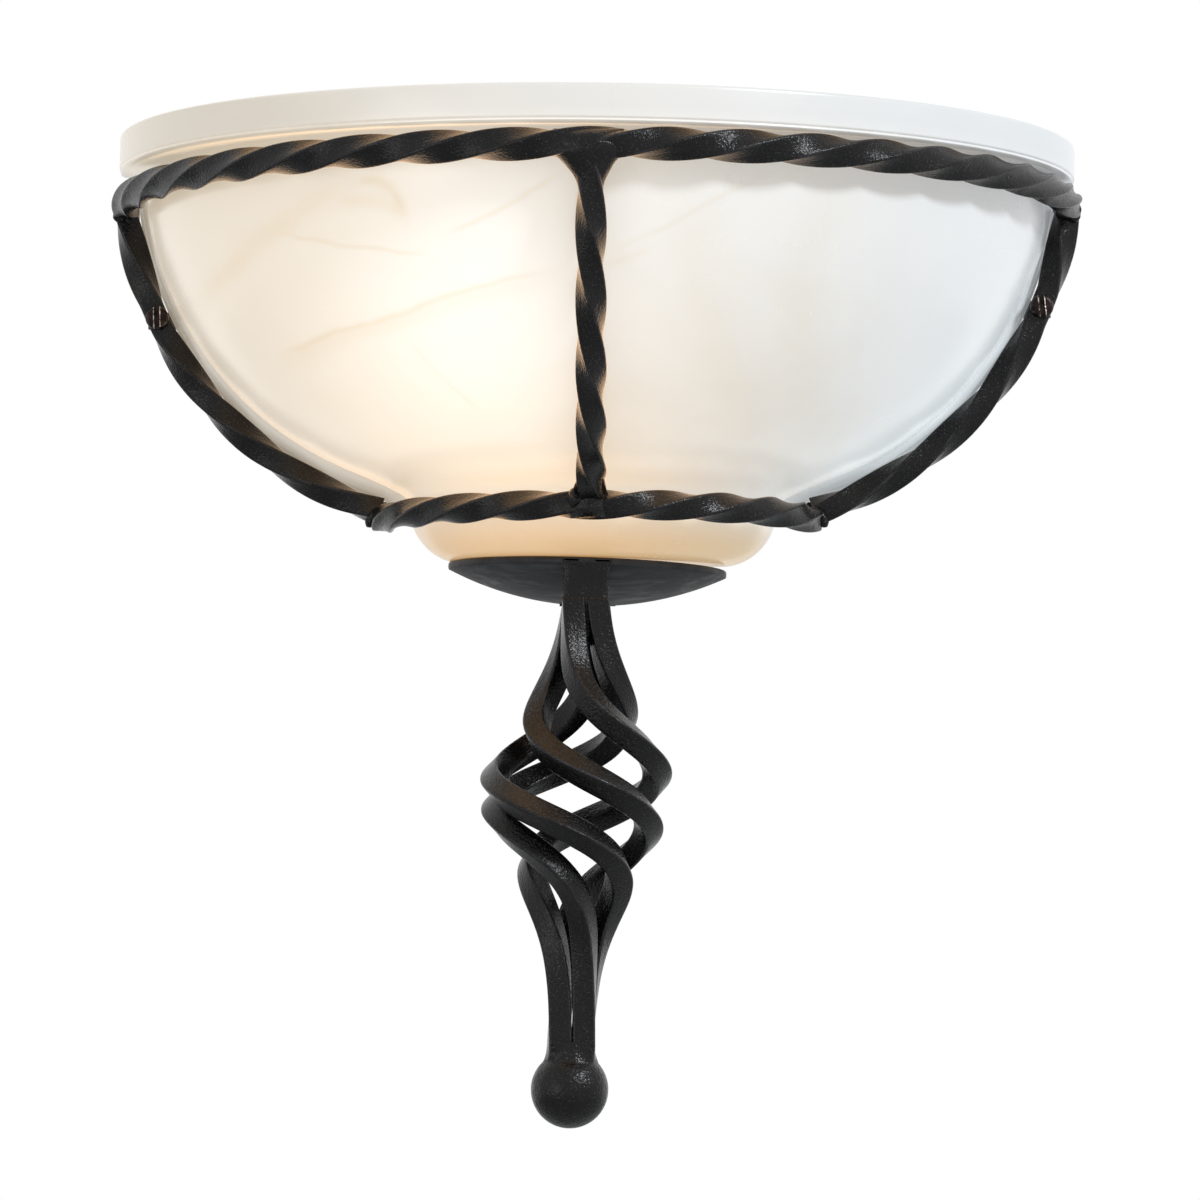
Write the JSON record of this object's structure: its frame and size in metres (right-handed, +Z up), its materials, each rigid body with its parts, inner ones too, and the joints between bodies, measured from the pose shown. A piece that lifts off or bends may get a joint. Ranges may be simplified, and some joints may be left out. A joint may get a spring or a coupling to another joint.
{
  "type": "torch sconce",
  "caption": "Wall light with a half bowl of white stone glass in a frame of twisted square bar, over a dish and a basket of twisted rods ending in a ball.",
  "frame": {"origin": "middle of the two wall bolts, on the wall plane", "axes": "+Y into the wall, +Z up, +X to the right as seen from the room"},
  "size_m": [0.3474, 0.175, 0.3541],
  "materials": {
    "black_iron": "black powder coat with a fine grain over forged iron",
    "stone_glass": "white stone glass with faint veins, lit from inside",
    "bronze_screw": "dark bronze plated steel",
    "zinc_steel": "zinc plated",
    "lamp_brass": "plain brass",
    "porcelain": "glazed porcelain",
    "grommet_rubber": "moulded rubber",
    "lead_brown": "insulated lead",
    "lead_blue": "insulated lead",
    "frosted_bulb": "frosted inside, lit",
    "bulb_metal": "rolled thread",
    "bulb_black_glass": "black glass insulator"
  },
  "bodies": {
    "frame": {"upper_hoop": "black_iron", "lower_hoop": "black_iron", "side_bar_left": "black_iron", "side_bar_right": "black_iron", "front_bar": "black_iron", "lower_back_rail": "black_iron", "dish": "black_iron", "dish_strap": "black_iron", "stem_head": "black_iron", "basket_rod_1": "black_iron", "basket_rod_2": "black_iron", "basket_rod_3": "black_iron", "basket_rod_4": "black_iron", "ball_finial": "black_iron", "frame_screw_left": "bronze_screw", "frame_screw_right": "bronze_screw", "wall_plate": "black_iron", "holder_bracket": "zinc_steel", "bracket_screws": "zinc_steel", "nipple": "lamp_brass", "nipple_nut": "lamp_brass", "lampholder": "porcelain", "thread_shell": "lamp_brass", "centre_contact": "lamp_brass", "terminal_block": "porcelain", "terminal_screws": "lamp_brass", "earth_screw": "lamp_brass", "cable_grommet": "grommet_rubber", "lead_live": "lead_brown", "lead_neutral": "lead_blue"},
    "bowl": {"glass_bowl": "stone_glass"},
    "bulb": {"bulb_glass": "frosted_bulb", "bulb_cap": "bulb_metal", "bulb_insulator": "bulb_black_glass", "bulb_contact": "bulb_metal"}
  },
  "joints": [
    {"name": "glass_lift", "type": "slide", "parent": "frame", "child": "bowl", "axis": [0, 0, 1], "range_m": [0, 0.01]},
    {"name": "bulb_draw", "type": "slide", "parent": "frame", "child": "bulb", "axis": [-1, 0, 0], "range_m": [0, 0.02]}
  ]
}
